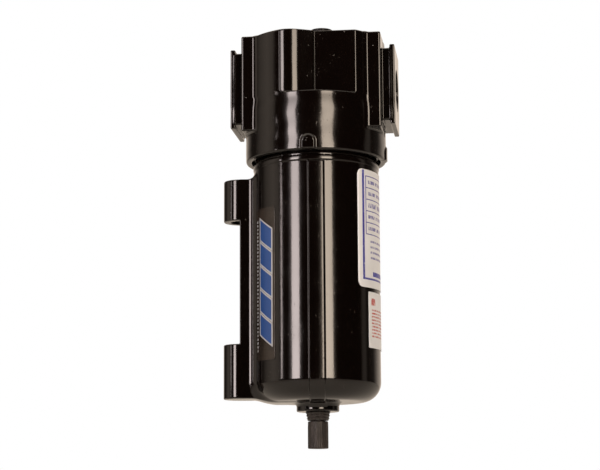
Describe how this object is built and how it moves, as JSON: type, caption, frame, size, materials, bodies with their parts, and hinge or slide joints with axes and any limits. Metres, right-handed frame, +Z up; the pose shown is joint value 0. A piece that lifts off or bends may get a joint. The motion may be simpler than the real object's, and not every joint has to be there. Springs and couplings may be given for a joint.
{
  "type": "compressed air filter",
  "caption": "In-line compressed air filter: black cast head with two flanged ports, screwed metal bowl with a sight-gauge web, swirl deflector, element and float drain.",
  "frame": {"origin": "where the axis through both ports crosses the bowl's axis", "axes": "+Z up along the bowl's axis, +X from the inlet port to the outlet port, -Y the head's stepped front"},
  "size_m": [0.085, 0.0691, 0.1999],
  "materials": {
    "enamel": "gloss black enamel on a die casting",
    "zinc_steel": "satin zinc plate",
    "black_steel": "satin black",
    "rubber": "matte",
    "drain_nylon": "matte dark nylon",
    "acetal": "satin",
    "porous": "matte sintered",
    "foam": "matte",
    "screen": "satin woven wire",
    "badge_film": "gloss film",
    "label_paper": "satin laminated paper"
  },
  "bodies": {
    "head": {"head_casting": "enamel", "port_plug": "black_steel", "plug_seal": "rubber", "tie_rod": "zinc_steel", "deflector": "acetal", "element_top_seal": "rubber", "filter_element": "porous", "element_bottom_seal": "rubber", "baffle": "acetal", "baffle_nut": "zinc_steel"},
    "bowl_ring": {"bowl_o_ring": "rubber"},
    "bowl": {"bowl_casting": "enamel", "side_badge": "badge_film", "rating_label": "label_paper", "batch_label": "label_paper", "drain_gasket": "rubber", "drain_body": "drain_nylon", "drain_screen": "screen", "drain_cap": "acetal", "lever_pin": "zinc_steel"},
    "float": {"drain_float": "foam"},
    "lever": {"pilot_lever": "acetal"},
    "piston": {"drain_piston": "acetal", "piston_seal": "rubber", "drain_valve": "rubber", "return_spring": "zinc_steel"},
    "stem": {"drain_stem": "drain_nylon", "stem_o_ring": "rubber"}
  },
  "joints": [
    {"name": "bowl_drop", "type": "slide", "parent": "head", "child": "bowl_ring", "axis": [0, 0, -1], "range_m": [0, 0.00876]},
    {"name": "bowl_turn", "type": "hinge", "parent": "bowl_ring", "child": "bowl", "pos_m": [0, 0, 0], "axis": [0, 0, -1], "range_deg": [0, 1260]},
    {"name": "float_rise", "type": "slide", "parent": "bowl", "child": "float", "axis": [0, 0, 1], "range_m": [0, 0.005]},
    {"name": "lever_tilt", "type": "hinge", "parent": "bowl", "child": "lever", "pos_m": [0.00597, 0.00063, -0.1144], "axis": [-0.1045, 0.9945, 0], "range_deg": [0, 17.4]},
    {"name": "piston_drop", "type": "slide", "parent": "bowl", "child": "piston", "axis": [0, 0, -1], "range_m": [0, 0.002], "deforming": ["return_spring"]},
    {"name": "stem_turn", "type": "hinge", "parent": "bowl", "child": "stem", "pos_m": [0, 0, -0.165], "axis": [0, 0, 1], "range_deg": [0, 90]}
  ],
  "couplings": [
    {"joint": "bowl_drop", "follows": "bowl_turn", "m_per_rad": 0.00039789},
    {"joint": "lever_tilt", "follows": "float_rise", "rad_per_m": 60.6},
    {"joint": "piston_drop", "follows": "float_rise", "ratio": 0.4}
  ]
}
